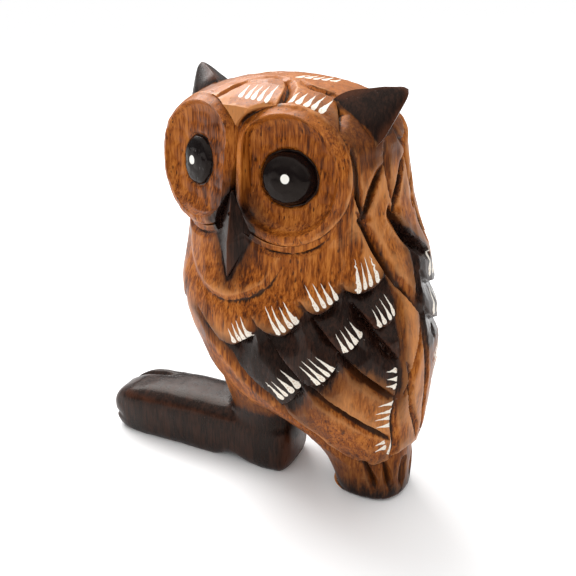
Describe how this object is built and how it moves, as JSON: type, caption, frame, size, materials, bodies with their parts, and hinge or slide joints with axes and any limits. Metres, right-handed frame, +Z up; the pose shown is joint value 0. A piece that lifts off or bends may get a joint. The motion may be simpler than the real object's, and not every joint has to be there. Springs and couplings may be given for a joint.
{
  "type": "carved wooden owl",
  "caption": "Hand-carved wooden owl ornament with a turned head, hollowed face discs, ear tufts and layered painted feathers, standing on its feet and tail.",
  "frame": {"origin": "on the ground, under the middle of the owl's outline box", "axes": "+Z up, -Y towards the toes, +Y towards the tail, +X to the owl's left, where the turned head looks"},
  "size_m": [0.0524, 0.0936, 0.106],
  "materials": {
    "stained_wood": "satin varnish over brown wood with dark stained parts and cream painted strokes"
  },
  "bodies": {
    "root": {"carved_owl": "stained_wood"}
  },
  "joints": []
}
